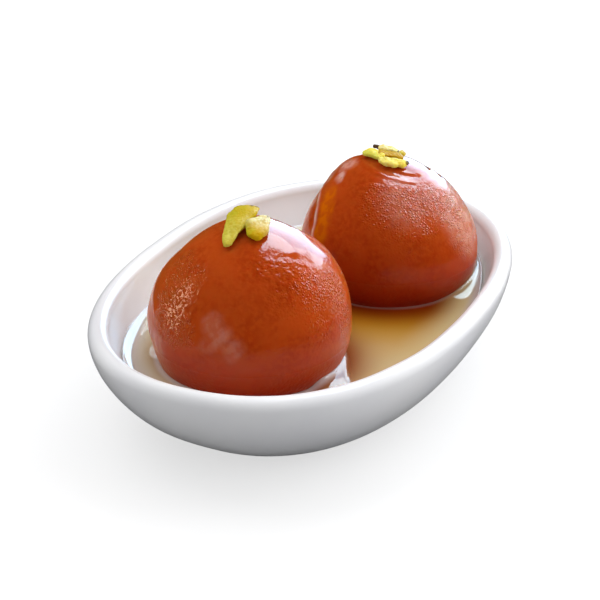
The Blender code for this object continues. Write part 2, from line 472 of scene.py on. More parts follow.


# %% [markdown]
# ### Where each ball is smooth, pitted and wrinkled
#
# The spots below are read as (turn, height angle, size, strength), with the first three in degrees. The
# turn counts from the +X end of the dish towards +Y. A sculptor would mark these places with a brush;
# numbers do the same, and can be moved one at a time. The film of syrup is thick on the crowns and thin
# lower down. On the back ball it has also run down in a narrow bead, with a pool of amber beside it and
# rough, dry crust beyond it. The dry spots also carry a pale painted sheen: painted reflection of the
# room on the back ball's left rim and right side and on the front ball's lower left. Under all that each
# ball has a few wide hollows and swellings, a third of a millimetre deep, where it was pressed while it
# was soft.

# %% Spots on the balls
# Each kind has the softness of its edges, then its spots on the front ball and on the back one.
SPOTS = {
    "film": (0.4, (
        (300, 82, 24, 1), (262, 67, 15, 1), (290, 56, 14, 1), (276, 47, 7, 0.7), (200, 72, 14, 0.7),
    ), (
        (200, 78, 18, 1), (240, 64, 10, 1), (300, 60, 22, 1), (160, 66, 10, 0.8),
    )),
    "pit": (0.55, (
        (136, 44, 14, 1), (147, 30, 17, 1), (152, 14, 17, 1), (164, 12, 13, 1), (158, 42, 12, 0.9),
        (250, 34, 16, 0.5), (274, 28, 14, 0.7), (276, 6, 13, 0.5), (228, 34, 13, 0.3), (246, 12, 14, 0.3),
        (330, 15, 44, 0.9), (50, 20, 50, 0.9),
    ), (
        (196, 46, 18, 0.7), (232, 44, 20, 0.85), (262, 40, 20, 0.8), (215, 30, 24, 0.4), (262, 18, 18, 0.4),
        (330, 20, 50, 0.9), (60, 25, 40, 0.9),
    )),
    "pucker": (0.3, (
        (222, 52, 8, 1), (237, 47, 11, 1), (251, 43, 11, 1), (262, 37, 11, 0.8), (30, 50, 30, 0.8),
        (330, 45, 20, 0.8),
    ), (
        (190, 54, 8, 0.8), (208, 54, 8, 0.9), (228, 51, 9, 1), (248, 49, 10, 1), (20, 40, 30, 0.8),
    )),
    # Dry crust, rough and without film; its pale colour is painted sheen, a painted reflection of the room.
    "dry_and_painted_sheen": (0.7, (
        (184, 21, 9, 0.26), (189, 15, 10, 0.30), (197, 9, 9, 0.24), (182, 9, 7, 0.15), (142, -4, 12, 0.3),
    ), (
        (80, 52, 20, 1), (92, 40, 23, 1), (100, 24, 28, 1), (133, 58, 6, 0.9), (115, 66, 10, 0.65),
        (290, 34, 28, 0.75), (272, 30, 28, 0.45), (268, 14, 16, 0.25), (222, 50, 24, 0.25),
        (258, 46, 22, 0.2),
    )),
    "amber": (0.6, (), (
        (139, 46, 8, 0.9), (145, 39, 9, 1), (147, 31, 9, 1), (148, 23, 9, 0.9),
    )),
}
BEADS = ((), ((92, 50), (104, 44), (119, 41), (132, 36), (138, 27), (141, 16), (143, 2)))
BEAD_STEPS = 90


def angle_to(facings, turn, tilt):
    """Degrees between each direction and the one at a turn and a height angle, themselves in degrees."""
    middle = facing(math.radians(tilt), math.radians(turn))
    return np.degrees(np.arccos(np.clip(facings @ middle, -1, 1)))


def spots(facings, places, softness):
    """The strength of the strongest spot over each point, soft over a share of each spot's size."""
    mask = np.zeros(facings.shape[:-1])
    for turn, tilt, size, strength in places:
        angle = angle_to(facings, turn, tilt)
        mask = np.maximum(mask, strength * (1 - ease(size * (1 - softness), size, angle)))
    return mask


def beads(facings, corners, size):
    """A rounded bead along a line of (turn, height angle): e to the minus square of distance over size."""
    if not corners:
        return np.zeros(facings.shape[:-1])
    turn, tilt = np.radians(corners).T
    step = np.linspace(0, len(corners) - 1, BEAD_STEPS)
    knots = np.arange(len(corners))
    line = facing(np.interp(step, knots, tilt), np.interp(step, knots, turn))
    nearest = (facings @ line.T).max(axis=-1)
    return np.exp(-((np.degrees(np.arccos(np.clip(nearest, -1, 1))) / size) ** 2))


# %% [markdown]
# ### The relief of the crust
#
# On the real ball the lumps, wrinkles, pits and runs of syrup stand out by a few hundredths of a
# millimetre to a few tenths. They could be left to the finish, but a low light would give that away at
# the outline. So each kind is a height over the bare ball, let in by its mask, and all are added up.

# %% The relief of a ball
LUMP = 0.00012
LUMP_LENGTH = 0.016
WRINKLE_DEPTH = 0.00003
WRINKLE_LENGTH = 0.0023
PIT_DEPTH = 0.00003
PORE_SIZE = 0.0010
FILM_THICKNESS = 0.00004
BEAD_HEIGHT = 0.00016
BEAD_SIZE = 1.2  # degrees
RAGGED = 0.022  # how far the edges of the masks are shifted, as a share of the ball
RAGGED_LENGTH = 0.0040
# Each dent is (turn, height angle, size), in degrees, and millimetres outwards.
DENTS = (
    ((95, 41, 13, -0.33), (40, 68, 14, 0.40), (338, 56, 13, -0.45), (127, -12, 12, -0.35)),
    ((98, 41, 12, -0.37), (80, 60, 12, 0.27), (291, 4, 14, -0.28)),
)
# Each moat is (x, y) of its middle from the ball's, radius, width and depth.
MOATS = ((), ((0.0032, -0.0008, 0.0081, 0.0011, 0.00026), (0.0032, -0.0008, 0.0105, 0.0006, 0.00010)))


def moats(ball, points):
    """Round dips where the film has pulled away from the nuts, and 1 / e deep at one width to the side."""
    relief = np.zeros(points.shape[:-1])
    for x, y, radius, width, depth in MOATS[ball.number]:
        reach = np.hypot(points[..., 0] - ball.x - x, points[..., 1] - ball.y - y)
        relief -= depth * np.exp(-(((reach - radius) / width) ** 2))
    return relief * (points[..., 2] > ball.z)


def ball_marks(ball, points, facings):
    """The masks of one ball by name. A swell shifts their edges, so that none is a plain circle."""
    ragged = swell(points, RAGGED_LENGTH, ball.seed + 1)[..., None] * RAGGED
    shifted = facings + ragged * facings[..., ::-1]
    shifted /= np.linalg.norm(shifted, axis=-1, keepdims=True)
    marks = {name: spots(shifted, places[ball.number], soft) for name, (soft, *places) in SPOTS.items()}
    bead = beads(0.7 * facings + 0.3 * shifted, BEADS[ball.number], BEAD_SIZE)
    marks["dry_and_painted_sheen"] *= 1 - bead
    dry = np.maximum(ease(0.1, 0.6, marks["pucker"]), ease(0.45, 0.9, marks["dry_and_painted_sheen"]))
    marks["film"] *= 1 - dry
    marks["pit"] *= 1 - marks["film"]
    return {**marks, "bead": bead}


def dents(ball, facings):
    """Hollows and swellings: each is e to the minus square of the angle from its middle over its size."""
    relief = np.zeros(facings.shape[:-1])
    for turn, tilt, size, depth in DENTS[ball.number]:
        relief += depth / 1000 * np.exp(-((angle_to(facings, turn, tilt) / size) ** 2))
    return relief


def ball_relief(ball, points, facings, marks):
    """How far the crust stands proud at each point.

    Lumps are slow swells. Wrinkles are the crests of a swell stretched level, 1 - |wave|. Pits are
    grains. The film, the bead and the moats round the nuts are syrup, which lies over all that.
    """
    crest = 1 - np.abs(swell(points, WRINKLE_LENGTH, ball.seed + 2, (1.6, 1.6, 0.8)))
    pores = 0.5 - grain(points, PORE_SIZE, ball.seed + 3)
    relief = LUMP * np.clip(swell(points, LUMP_LENGTH, ball.seed + 4), -2, 1) - LUMP
    relief += FILM_THICKNESS * marks["film"] + BEAD_HEIGHT * marks["bead"]
    relief += moats(ball, points) + dents(ball, facings)
    relief += WRINKLE_DEPTH * marks["pucker"] * np.clip(crest, -1, 1)
    relief += PIT_DEPTH * (marks["pit"] + 0.8 * marks["dry_and_painted_sheen"]) * pores
    return relief


def make_ball(ball):
    """One sweet: the bare ball with its relief along the normals, and its masks kept for the finish."""
    tilt, turn = ball_grid()
    bare = ball_points(ball, tilt, turn)
    marks = ball_marks(ball, bare, facing(tilt, turn))
    relief = ball_relief(ball, bare, facing(tilt, turn), marks)
    rings = bare + outward(bare) * relief[..., None]
    low = (ball.x, ball.y, ball.z - ball.bottom)
    high = (ball.x + ball.lean_x, ball.y + ball.lean_y, ball.z + ball.top + relief[-1].mean())
    piece = closed_piece(ball.name.replace("jamun", "sweet"), rings, low, high)
    for name, mark in marks.items():
        store(piece, name, np.append(mark, (mark[0].mean(), mark[-1].mean())))
    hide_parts(ball.name)
    return piece


sweets = [make_ball(ball) for ball in BALLS]

# %% [markdown]
# ### Fried crust under syrup
#
# Light goes a few millimetres into the soaked dough and comes out redder, which is why the ball glows
# orange at its outline, and part of why it turns deep red near the syrup. The shader's subsurface part
# does that. Over it the tone drifts, and turns amber where the masks say so. Light and shade are also
# painted into the colour: deeper red lower down is painted shade as well as soaked crust, the pale dry
# spots are painted sheen, and the pale bead is a painted highlight. The grains are far too small for
# the mesh, so they are bumps: round domes where the crust is pitted, and stretched waves where it is
# wrinkled. A clear coat stands for the film of syrup, and bare crust has none.

# %% The crust
CRUST_TONES = ((0.40, 0.044, 0.0032), (0.52, 0.075, 0.0082))
CRUST_SPECK = (0.51, 0.073, 0.0082)
CLEAR_AMBER = (0.66, 0.155, 0.001)
# Deep red lower down: crust soaked in syrup, darkened further as painted shade where less light reaches.
SOAKED_AND_SHADED_RED = (0.32, 0.0085, 0.0003)
# Pale pink painted sheen on the dry spots.
PAINTED_SHEEN_PINK = (0.76, 0.45, 0.35)
# Painted highlight along the bead of syrup.
PAINTED_BEAD_HIGHLIGHT = (0.85, 0.66, 0.58)
SOAKED_AND_SHADED_HEIGHTS = (0.014, 0.036)
DULL_HEIGHTS = (0.016, 0.034)  # below these the crust is rougher, with less gloss
GRAINS_PER_METRE = 1850.0
GRAIN_HEIGHT = 0.00030


def crust_colour(tree, height):
    """Red brown drifting in tone, with amber and painted sheen, and deep red lower down, partly painted
    shade.
    """
    warm = mixed(tree, drift(tree, 130.0), *CRUST_TONES)
    mottled = mixed(tree, drift(tree, 800.0), warm, CRUST_SPECK)
    glow = times(tree, kept(tree, "amber"), between(tree, drift(tree, 420.0), 0.1, 0.7, 0.45, 1.0))
    amber = mixed(tree, glow, mottled, CLEAR_AMBER)
    # Deep red towards the bottom, partly soaked crust and partly painted shade.
    soaked_and_shaded = mixed(tree, between(tree, height, *SOAKED_AND_SHADED_HEIGHTS, 0.9, 0.0), amber, SOAKED_AND_SHADED_RED)
    # Painted sheen in blotches over the dry spots.
    sheen_blotches = between(tree, drift(tree, 480.0), 0.1, 0.9, 0.5, 1.0)
    pale = mixed(tree, times(tree, kept(tree, "dry_and_painted_sheen"), sheen_blotches), soaked_and_shaded, PAINTED_SHEEN_PINK)
    # Pale pink along the bead: a painted highlight.
    return mixed(tree, times(tree, kept(tree, "bead"), 0.7), pale, PAINTED_BEAD_HIGHLIGHT)


def crust_bump(tree):
    """Domes in the pits, waves in the puckers, and a fine skin everywhere but in the film.

    A dome is a cone in the distance to the middle of its cell, and a round cap in the square of it.
    """
    cells = add(tree, "TexVoronoi", Vector=place(tree), Scale=GRAINS_PER_METRE).outputs["Distance"]
    cone = between(tree, cells, 0.0, 0.62, 0.75, 0.0)
    domes = plus(tree, cone, between(tree, times(tree, cells, cells), 0.0, 0.38, 0.45, 0.0))
    domes = times(tree, domes, between(tree, drift(tree, 420.0), 0.0, 1.0, 0.5, 1.0))
    flow = add(tree, "Mapping", Vector=place(tree), Scale=(1.0, 1.0, 1.8)).outputs["Vector"]
    waves = add(tree, "TexNoise", Vector=flow, Scale=780.0, Detail=1.5, Distortion=0.3).outputs["Fac"]
    grains = times(tree, domes, kept(tree, "pit"))
    folds = times(tree, waves, kept(tree, "pucker"))
    smooth = plus(tree, kept(tree, "film"), kept(tree, "amber"))
    bare = between(tree, plus(tree, smooth, drift(tree, 90.0)), 0.2, 1.2, 0.30, 0.0)
    skin = times(tree, sparkle(tree, 1500.0, 0.6), bare)
    return plus(tree, skin, plus(tree, grains, folds))


def crust_finish():
    """Soaked dough that light enters, with grains, ridges and a clear coat of syrup."""
    finish, tree, shader = new_finish("jamun crust")
    height = add(tree, "SeparateXYZ", Vector=place(tree)).outputs["Z"]
    bump = add(tree, "Bump", Height=crust_bump(tree), Strength=1.0, Distance=GRAIN_HEIGHT)
    rough = plus(tree, between(tree, height, *DULL_HEIGHTS, 0.30, 0.0), 0.09)
    feed(tree, shader, Base_Color=crust_colour(tree, height), Roughness=rough, IOR=1.45)
    feed(tree, shader, Normal=bump.outputs["Normal"], Specular_IOR_Level=0.26)
    feed(tree, shader, Sheen_Weight=0.25, Sheen_Roughness=0.35, Sheen_Tint=(1.0, 0.40, 0.06))
    feed(tree, shader, Subsurface_Weight=1.0, Subsurface_Scale=0.0020, Subsurface_Radius=(1.0, 0.25, 0.08))
    feed(tree, shader, Coat_Weight=times(tree, kept(tree, "film"), 0.6), Coat_Roughness=0.02, Coat_IOR=1.5)
    return finish


crust = crust_finish()
for sweet in sweets:
    sweet.data.materials.append(crust)

# %% [markdown]
# ## The syrup
#
# The syrup lies flat in the hollow and climbs a little where it touches the glaze and the crust. That
# narrow climbing edge is what catches the window as a bright line, so it is part of the shape. It is
# wider at the near end, it is highest where a ball stands close to the wall, and beside the front ball
# some thick syrup is heaped up in a slope. A liquid simulation could find this shape, but slowly. Here
# the top is a square grid pressed onto the oval of the hollow; its points near an edge rise by a height
# that falls off with the distance. The body reaches just into the wall, so no air shows between them.

# %% The shape of the syrup
SYRUP_LEVEL = 0.01645
INTO_WALL = 0.00025
SYRUP_ACROSS = 300
SYRUP_ALONG = 190
SYRUP_ROWS = 15
HOLLOW_STEPS = 400
SETTLING_TURNS = 4
# How high the edge climbs and from how far: at the wall, at the wall of the near end, and at a ball.
CLIMB, CLIMB_REACH = 0.0009, 0.0026
END_CLIMB, END_REACH = 0.0013, 0.0032
BALL_CLIMB, BALL_REACH = 0.0015, 0.0044
END = (0.016, 0.030)  # the near end begins between these distances from the middle
OPEN_CLIMB = 0.3  # the share of a ball's climb that is left away from the wall
OPEN_FROM = 0.0090
NARROW, NARROW_CLIMB = 0.0070, 0.0024
# The bank: level directions down it and across it, its limits along them, and its turns round the ball.
BANK_DOWN = (-0.151, -0.985)
BANK_END = 0.0275
BANK_LENGTH = 0.0055
BANK_SLOPE = 0.40
BANK_SIDE = (0.420, -0.908)
BANK_EDGE = (0.0080, 0.0092)
BANK_START = (244, 256)
BANK_STOP = (291, 299)
# Distances that the masks of colour ease over.
# Brown by each ball, painted shade and painted reflection of the ball: its reach, then where it starts from
# the wall.
BALL_SHADE_REACH = (0.0062, 0.0080)
BALL_SHADE_FROM_WALL = (0.003, 0.012)
# The pale edge at the wall and the line round each ball, partly painted highlight, wider at the near end.
RIM, END_RIM = (0.0004, 0.0034), 0.0060
LINE, END_LINE = (0.0002, 0.0010), 0.0012
LINE_TONE, END_LINE_TONE = 0.25, 0.45
DEEP_FROM_WALL = (0.001, 0.013)
# The gold is darker near the back ball as painted shade: its reach, and the share left far from it.
BACK_BALL_SHADE_REACH = (0.006, 0.030)
DEPTH_AWAY_FROM_SHADE = 0.2


def hollow_at(height, outset):
    """Half length and half width of the hollow at a height, moved into the wall by outset."""
    outlines = inner_wall(outset, HOLLOW_STEPS)
    return (np.interp(height, outlines[:, 2], outlines[:, axis]) for axis in (0, 1))


def pressed_grid(half_length, half_width):
    """A square grid pressed onto an oval: each point keeps its direction from the middle.

    Its size there is the larger of |u| and |v|, over the oval's own measure of (u, v).
    """
    u, v = np.meshgrid(np.linspace(-1, 1, SYRUP_ACROSS), np.linspace(-1, 1, SYRUP_ALONG), indexing="ij")
    square = np.maximum(np.abs(u), np.abs(v))
    round_size = (np.abs(u) ** OVAL_POWER + np.abs(v) ** OVAL_POWER) ** (1 / OVAL_POWER)
    share = square / np.maximum(round_size, 1e-9)
    return half_length * u * share, half_width * v * share, square


def climb(gap, rise, reach):
    """The rise at a gap from an edge: the square of 1 - gap / reach, steepest at the edge."""
    return rise * np.clip(1 - gap / reach, 0, 1) ** 2


def wall_gap(x, y, square):
    """The distance to the wall along the line from the middle of the dish, where it is half the width."""
    reach = np.where(square > 0.05, np.hypot(x, y) / np.maximum(square, 0.05), DISH_WIDTH / 2)
    return reach * (1 - square)


def ball_gap(ball, x, y, height):
    """The distance to a ball at a height, none inside it."""
    share = np.abs(height - ball.z) / ball.bottom
    radius = ball.radius * (1 - share**ball.power) ** (1 / ball.power)
    return np.maximum(np.hypot(x - ball.x, y - ball.y) - radius, 0)


def bank(x, y):
    """Thick syrup heaped beside the front ball: a slope that falls along BANK_DOWN and ends at one side.

    Its height is BANK_SLOPE times the distance still to go to BANK_END, and no more than its length.
    """
    ball = BALLS[0]
    turn = np.degrees(np.arctan2(y - ball.y, x - ball.x)) % 360
    across = x * BANK_SIDE[0] + y * BANK_SIDE[1]
    down = x * BANK_DOWN[0] + y * BANK_DOWN[1]
    beside = ease(*BANK_START, turn) * (1 - ease(*BANK_STOP, turn)) * (1 - ease(*BANK_EDGE, across))
    return BANK_SLOPE * np.clip(BANK_END - down, 0, BANK_LENGTH) * beside


def syrup_top(x, y, square):
    """The level with a climb at each edge, and one more where a ball and the wall are close together.

    The last is e to the minus square of both gaps over NARROW. A ball's own climb is lower out in the
    open. The balls bulge, so the height settles by turns.
    """
    to_wall = wall_gap(x, y, square)
    at_end = ease(*END, -x)
    reach = CLIMB_REACH + (END_REACH - CLIMB_REACH) * at_end
    at_wall = climb(to_wall, CLIMB + (END_CLIMB - CLIMB) * at_end, reach)
    beside_wall = np.exp(-((to_wall / OPEN_FROM) ** 2))
    ball_climb = BALL_CLIMB * (OPEN_CLIMB + (1 - OPEN_CLIMB) * beside_wall)
    heaped = bank(x, y)
    height = np.full_like(x, SYRUP_LEVEL)
    for _ in range(SETTLING_TURNS):
        gaps = [ball_gap(ball, x, y, height) for ball in BALLS]
        narrow = np.exp(-(((np.minimum(*gaps) + to_wall) / NARROW) ** 2))
        at_ball = climb(np.minimum(*gaps), ball_climb, BALL_REACH)
        height = SYRUP_LEVEL + at_wall + at_ball + NARROW_CLIMB * narrow + heaped
    return height


def near_balls(x, y):
    """Painted shade and reflection: 1 at a ball, falling off as e to the minus square of gap over its reach.
    """
    near = np.zeros_like(x)
    for ball, reach in zip(BALLS, BALL_SHADE_REACH):
        near = near + np.exp(-((ball_gap(ball, x, y, SYRUP_LEVEL) / reach) ** 2))
    return np.minimum(near, 1)


def border(across, along):
    """Grid numbers once round the edge of a grid, in the order of the turns."""
    number = np.arange(across * along).reshape(across, along)
    sides = (number[-1, :-1], number[:0:-1, -1], number[0, :0:-1], number[:-1, 0])
    return np.concatenate(sides)


def pool_surface():
    """Points of the top grid, their measure (see pressed_grid), and the oval they end at."""
    heights = (SYRUP_LEVEL + END_CLIMB, SYRUP_LEVEL + CLIMB)
    half_length, half_width = hollow_at(heights, INTO_WALL)
    oval = (half_length[0], half_width[1])
    x, y, square = pressed_grid(*oval)
    return x, y, syrup_top(x, y, square), square, oval


def pool_tones(x, y, z, square):
    """Three masks for the finish: how deep and shaded it looks, how brown by the balls, how pale at the
    edge.

    It is deep away from the wall, and darker near the back ball as painted shade. The brown by the balls
    is painted shade and reflection. It is pale at the wall, most of all at the near end, and in a line
    round each ball; the line and part of the pale edge are painted highlight.
    """
    to_wall = wall_gap(x, y, square)
    to_back = ball_gap(BALLS[1], x, y, SYRUP_LEVEL)
    # Darker near the back ball: painted shade of the ball.
    deep = ease(*DEEP_FROM_WALL, to_wall) * (1 - (1 - DEPTH_AWAY_FROM_SHADE) * ease(*BACK_BALL_SHADE_REACH, to_back))
    # Brown by the balls: painted shade and painted reflection of them.
    ball_shade_and_reflection = near_balls(x, y) * ease(*BALL_SHADE_FROM_WALL, to_wall)
    # Pale at the wall where the syrup is thin, with a painted highlight there, widened at the near end as
    # painted light; the line round each ball is a painted highlight.
    at_end = ease(*END, -x)
    at_wall = 1 - ease(RIM[0], RIM[1] + END_RIM * at_end, to_wall)
    to_ball = np.minimum(*(ball_gap(ball, x, y, z) for ball in BALLS))
    line = 1 - ease(LINE[0], LINE[1] + END_LINE * at_end, to_ball)
    pale_edge_and_highlight = np.maximum(at_wall, (LINE_TONE + END_LINE_TONE * at_end) * line)
    return {"deep": deep, "ball_shade_and_reflection": ball_shade_and_reflection, "pale_edge_and_highlight": pale_edge_and_highlight}


def make_syrup():
    """The top grid, rings of its border down the hollow's wall, and a flat underside."""
    x, y, z, square, oval = pool_surface()
    top = np.stack([x, y, z], axis=-1).reshape(-1, 3)
    edge = border(SYRUP_ACROSS, SYRUP_ALONG)
    levels = np.linspace(SYRUP_LEVEL, FLOOR[2] - INTO_WALL, SYRUP_ROWS)
    sizes = np.stack(list(hollow_at(levels, INTO_WALL)), axis=-1)
    rings = np.empty((len(levels), len(edge), 3))
    rings[..., :2] = (top[edge, :2] / oval) * sizes[:, None, :]
    rings[..., 2] = levels[:, None]
    points = np.concatenate([top, rings.reshape(-1, 3)])
    number = np.arange(SYRUP_ACROSS * SYRUP_ALONG).reshape(SYRUP_ACROSS, SYRUP_ALONG)
    faces = np.stack([number[:-1, :-1], number[1:, :-1], number[1:, 1:], number[:-1, 1:]], axis=-1)
    below = tube_faces(len(levels), len(edge)) + len(top)
    ring = np.arange(len(edge)) + len(top)
    skirt = np.stack([edge, np.roll(edge, -1), np.roll(ring, -1), ring], axis=-1)
    last = ring + (len(levels) - 1) * len(edge)
    sides = [faces.reshape(-1, 4), skirt[:, ::-1], below[:, ::-1], last[None, ::-1]]
    pool = new_piece("syrup_pool", points, sides)
    for name, tone in pool_tones(x, y, z, square).items():
        store(pool, name, np.append(tone, np.zeros(rings[..., 0].size)))
    return pool


syrup = make_syrup()
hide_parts("syrup")

# %% [markdown]
# ### Clear golden syrup
#
# Sugar syrup is clear and bends light more than water. Its gold comes from depth: white light loses
# blue and green on its way through, so a thin edge looks pale and the deep middle looks amber. Volume
# absorption does this in one colour and one density. Real syrup is also a little cloudy with sugar and
# milk from the sweets, which a clear volume lacks, so over half of the finish is a body colour: pale at
# the edge, golden in the middle and brown by the balls. That body colour also holds painted light: the
# brown by the balls is painted shade and reflection, the gold is darker in the painted shade of the back
# ball, and the pale edge and a line round each ball carry a painted highlight. Slow waves keep it from
# being a perfect mirror.

# %% The syrup's finish
GOLD_TONES = ((0.97, 0.83, 0.44), (0.97, 0.86, 0.50))
# Deep gold: depth of syrup, and painted shade near the back ball.
DEEP_AND_SHADED_GOLD = (0.76, 0.40, 0.028)
# Painted shade and painted reflection of the balls.
BALL_SHADE_BROWN = (0.36, 0.042, 0.0005)
# Thin syrup over white glaze, with a painted highlight.
EDGE_WHITE_AND_HIGHLIGHT = (0.98, 0.92, 0.90)


def syrup_finish():
    """Clear liquid that takes up blue and green with depth, under a body colour made of four tones."""
    finish, tree, shader = new_finish("sugar syrup")
    bump = add(tree, "Bump", Height=drift(tree, 120.0, 1.0), Strength=0.25, Distance=0.0002)
    tone = mixed(tree, drift(tree, 60.0), *GOLD_TONES)
    # Darker gold is depth and painted shade; brown is painted shade and reflection; the pale edge holds a
    # painted highlight.
    for name, colour in (("deep", DEEP_AND_SHADED_GOLD), ("ball_shade_and_reflection", BALL_SHADE_BROWN), ("pale_edge_and_highlight", EDGE_WHITE_AND_HIGHLIGHT)):
        tone = mixed(tree, kept(tree, name), tone, colour)
    feed(tree, shader, Base_Color=tone, Roughness=0.02, IOR=1.18, Transmission_Weight=0.42)
    feed(tree, shader, Normal=bump.outputs["Normal"], Coat_Weight=1.0, Coat_Roughness=0.02, Coat_IOR=1.45)
    absorb = add(tree, "VolumeAbsorption", Color=(0.90, 0.50, 0.05), Density=20.0)
    tree.links.new(absorb.outputs["Volume"], tree.nodes["Material Output"].inputs["Volume"])
    return finish


syrup.data.materials.append(syrup_finish())

# %% [markdown]
# ## The pistachio
#
# The nuts are cut by hand, so no two pieces match: each is a small flat sliver with a bulging cut face
# and a thinner, darker edge where the skin was. Every sliver is an oval section carried along a short
# path that follows the crown under it, and each is made uneven by a swell. What sets a piece off from
# a pebble is its boxy section, with cut faces that are nearly flat.

# %% The cuts of nut
# Ball is 0 for the front one. Places are from the ball's middle; bow bends the sliver sideways; near and
# far are its two ends' heights over the crown.
Sliver = namedtuple("Sliver", "name ball x y heading length width thickness flare bow near far seed")

SLIVERS = (
    Sliver("long", 0, -0.0021, 0.0014, 6, 0.0146, 0.0056, 0.0016, 0.46, 0.0004, 0.0004, 0.0016, 1),
    Sliver("chunk", 0, -0.0020, -0.0032, 4, 0.0080, 0.0045, 0.0021, -0.10, 0.0, 0.0004, 0.0004, 2),
    Sliver("left", 1, -0.0006, 0.0043, 62, 0.0064, 0.0032, 0.0013, 0.10, 0.0002, 0.0004, 0.0004, 3),
    Sliver("bowed", 1, -0.0018, -0.0014, -62, 0.0072, 0.0025, 0.0014, -0.1, -0.0009, 0.0004, 0.0005, 4),
    Sliver("upper", 1, 0.0024, 0.0016, -80, 0.0050, 0.0028, 0.0015, -0.25, 0.0003, 0.0008, 0.0004, 5),
    # The ochre sliver fills the shaded hollow between the upper and bowed ones; its darker colour is painted
    # shade.
    Sliver("ochre", 1, 0.0004, 0.0008, -70, 0.0070, 0.0032, 0.0012, 0.10, 0.0002, 0.0004, 0.0004, 8),
    Sliver("dark", 1, 0.0034, 0.0042, 104, 0.0034, 0.0017, 0.0010, -0.15, 0.0002, 0.0006, 0.0012, 6),
    Sliver("small", 1, 0.0036, -0.0010, -25, 0.0030, 0.0017, 0.0011, 0.0, 0.0, 0.0004, 0.0004, 7),
)
NARROWING = 0.5
THINNING = 0.4
SECTION_POWER = 0.5
LUMPS = (0.9, 0.09)  # wavelength and height, as shares of the width and the thickness
FINE_LUMPS = (0.0007, 0.00003)
CROWN_TURNS = 12
SLIVER_TURNS = 48
SLIVER_ROWS = 60


def crown_height(ball, x, y):
    """The height of a ball's upper side over a point. The lean depends on it, so both settle by turns."""
    up = np.ones_like(x)
    for _ in range(CROWN_TURNS):
        reach = np.hypot(x - ball.lean_x * up * up, y - ball.lean_y * up * up) / ball.radius
        up = np.maximum(1 - reach**ball.power, 0) ** (1 / ball.power)
    return ball.z + ball.top * up


def sliver_points(sliver, tilt, turn):
    """An oval section along a bowed path over the crown. It narrows and thins towards both ends."""
    ball = BALLS[sliver.ball]
    heading = math.radians(sliver.heading)
    share = np.sin(tilt)
    across = sliver.width / 2 * np.cos(tilt) ** NARROWING * (1 + sliver.flare * share) * np.cos(turn)
    across = across + sliver.bow * (1 - share**2)
    lift = sliver.thickness / 2 * (1 + np.cos(tilt) ** THINNING * signed_power(np.sin(turn), SECTION_POWER))
    along = share * sliver.length / 2
    x = sliver.x + along * math.cos(heading) - across * math.sin(heading)
    y = sliver.y + along * math.sin(heading) + across * math.cos(heading)
    base = crown_height(ball, x, y) + sliver.near + (sliver.far - sliver.near) * (share + 1) / 2
    return np.stack([ball.x + x, ball.y + y, base + lift], axis=-1)


def make_sliver(sliver):
    """One cut of nut, made uneven, with its place from the skin edge to the other kept for its colour."""
    tilt = np.linspace(-np.pi / 2, np.pi / 2, SLIVER_ROWS + 1)[1:-1]
    tilt, turn = np.meshgrid(tilt, turns_of(SLIVER_TURNS), indexing="ij")
    bare = sliver_points(sliver, tilt, turn)
    uneven = swell(bare, sliver.width * LUMPS[0], sliver.seed) * sliver.thickness * LUMPS[1]
    uneven += swell(bare, FINE_LUMPS[0], sliver.seed + 20) * FINE_LUMPS[1]
    rings = bare + outward(bare) * uneven[..., None]
    piece = closed_piece("nut_" + sliver.name, rings, rings[0].mean(0), rings[-1].mean(0))
    side = np.cos(turn) * 0.5 + 0.5
    store(piece, "side", np.append(side, (0.5, 0.5)))
    store(piece, "along", np.append(np.sin(tilt) * 0.5 + 0.5, (0, 1)))
    if "pistachio_" + sliver.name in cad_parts:
        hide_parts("pistachio_" + sliver.name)
    return piece


nuts = [make_sliver(sliver) for sliver in SLIVERS]

# %% [markdown]
# ### Green and yellow nut flesh
#
# Fresh pistachio is yellow green inside, greener under the skin and pale where it is cut across. The
# skin itself is thin and purple brown, and stays on some edges. The finish runs from one side of the
# sliver to the other, and a drift of tone breaks the line between the colours. Each sliver can have
# its own set of colours, because pieces cut from the middle of a nut are paler than those from its side.
# The ochre piece, which lies in the hollow between the others, is darker as painted shade.

# %% The nut finish
NUT_SKIN = (0.12, 0.065, 0.035)
SKIN_EDGE = 0.04  # the share of the length over which flesh turns into skin


def nut_finish(name, pale_shares, pale, yellow, green, skin_from):
    """Flesh from yellow to green across the cut, with skin from skin_from of its length on.

    The two shares say how much of it is pale at either end.
    """
    finish, tree, shader = new_finish(name)
    ragged = between(tree, drift(tree, 900.0), 0, 1, -0.2, 0.2)
    flesh = mixed(tree, between(tree, plus(tree, kept(tree, "side"), ragged), 0.3, 0.95), yellow, green)
    share = between(tree, kept(tree, "along"), 0.1, 0.8, *pale_shares)
    flesh = mixed(tree, times(tree, between(tree, drift(tree, 1300.0), 0, 1, 0.4, 1), share), flesh, pale)
    along = plus(tree, kept(tree, "along"), times(tree, ragged, 0.3))
    colour = mixed(tree, between(tree, along, skin_from, skin_from + SKIN_EDGE), flesh, NUT_SKIN)
    bump = add(tree, "Bump", Height=sparkle(tree, 2200.0, 0.8), Strength=0.5, Distance=0.00015)
    feed(tree, shader, Base_Color=colour, Roughness=0.55, IOR=1.4, Specular_IOR_Level=0.15)
    feed(tree, shader, Normal=bump.outputs["Normal"])
    feed(tree, shader, Subsurface_Weight=0.4, Subsurface_Scale=0.001, Subsurface_Radius=(1.0, 0.8, 0.3))
    feed(tree, shader, Coat_Weight=times(tree, drift(tree, 500.0), 0.05), Coat_Roughness=0.16)
    return finish


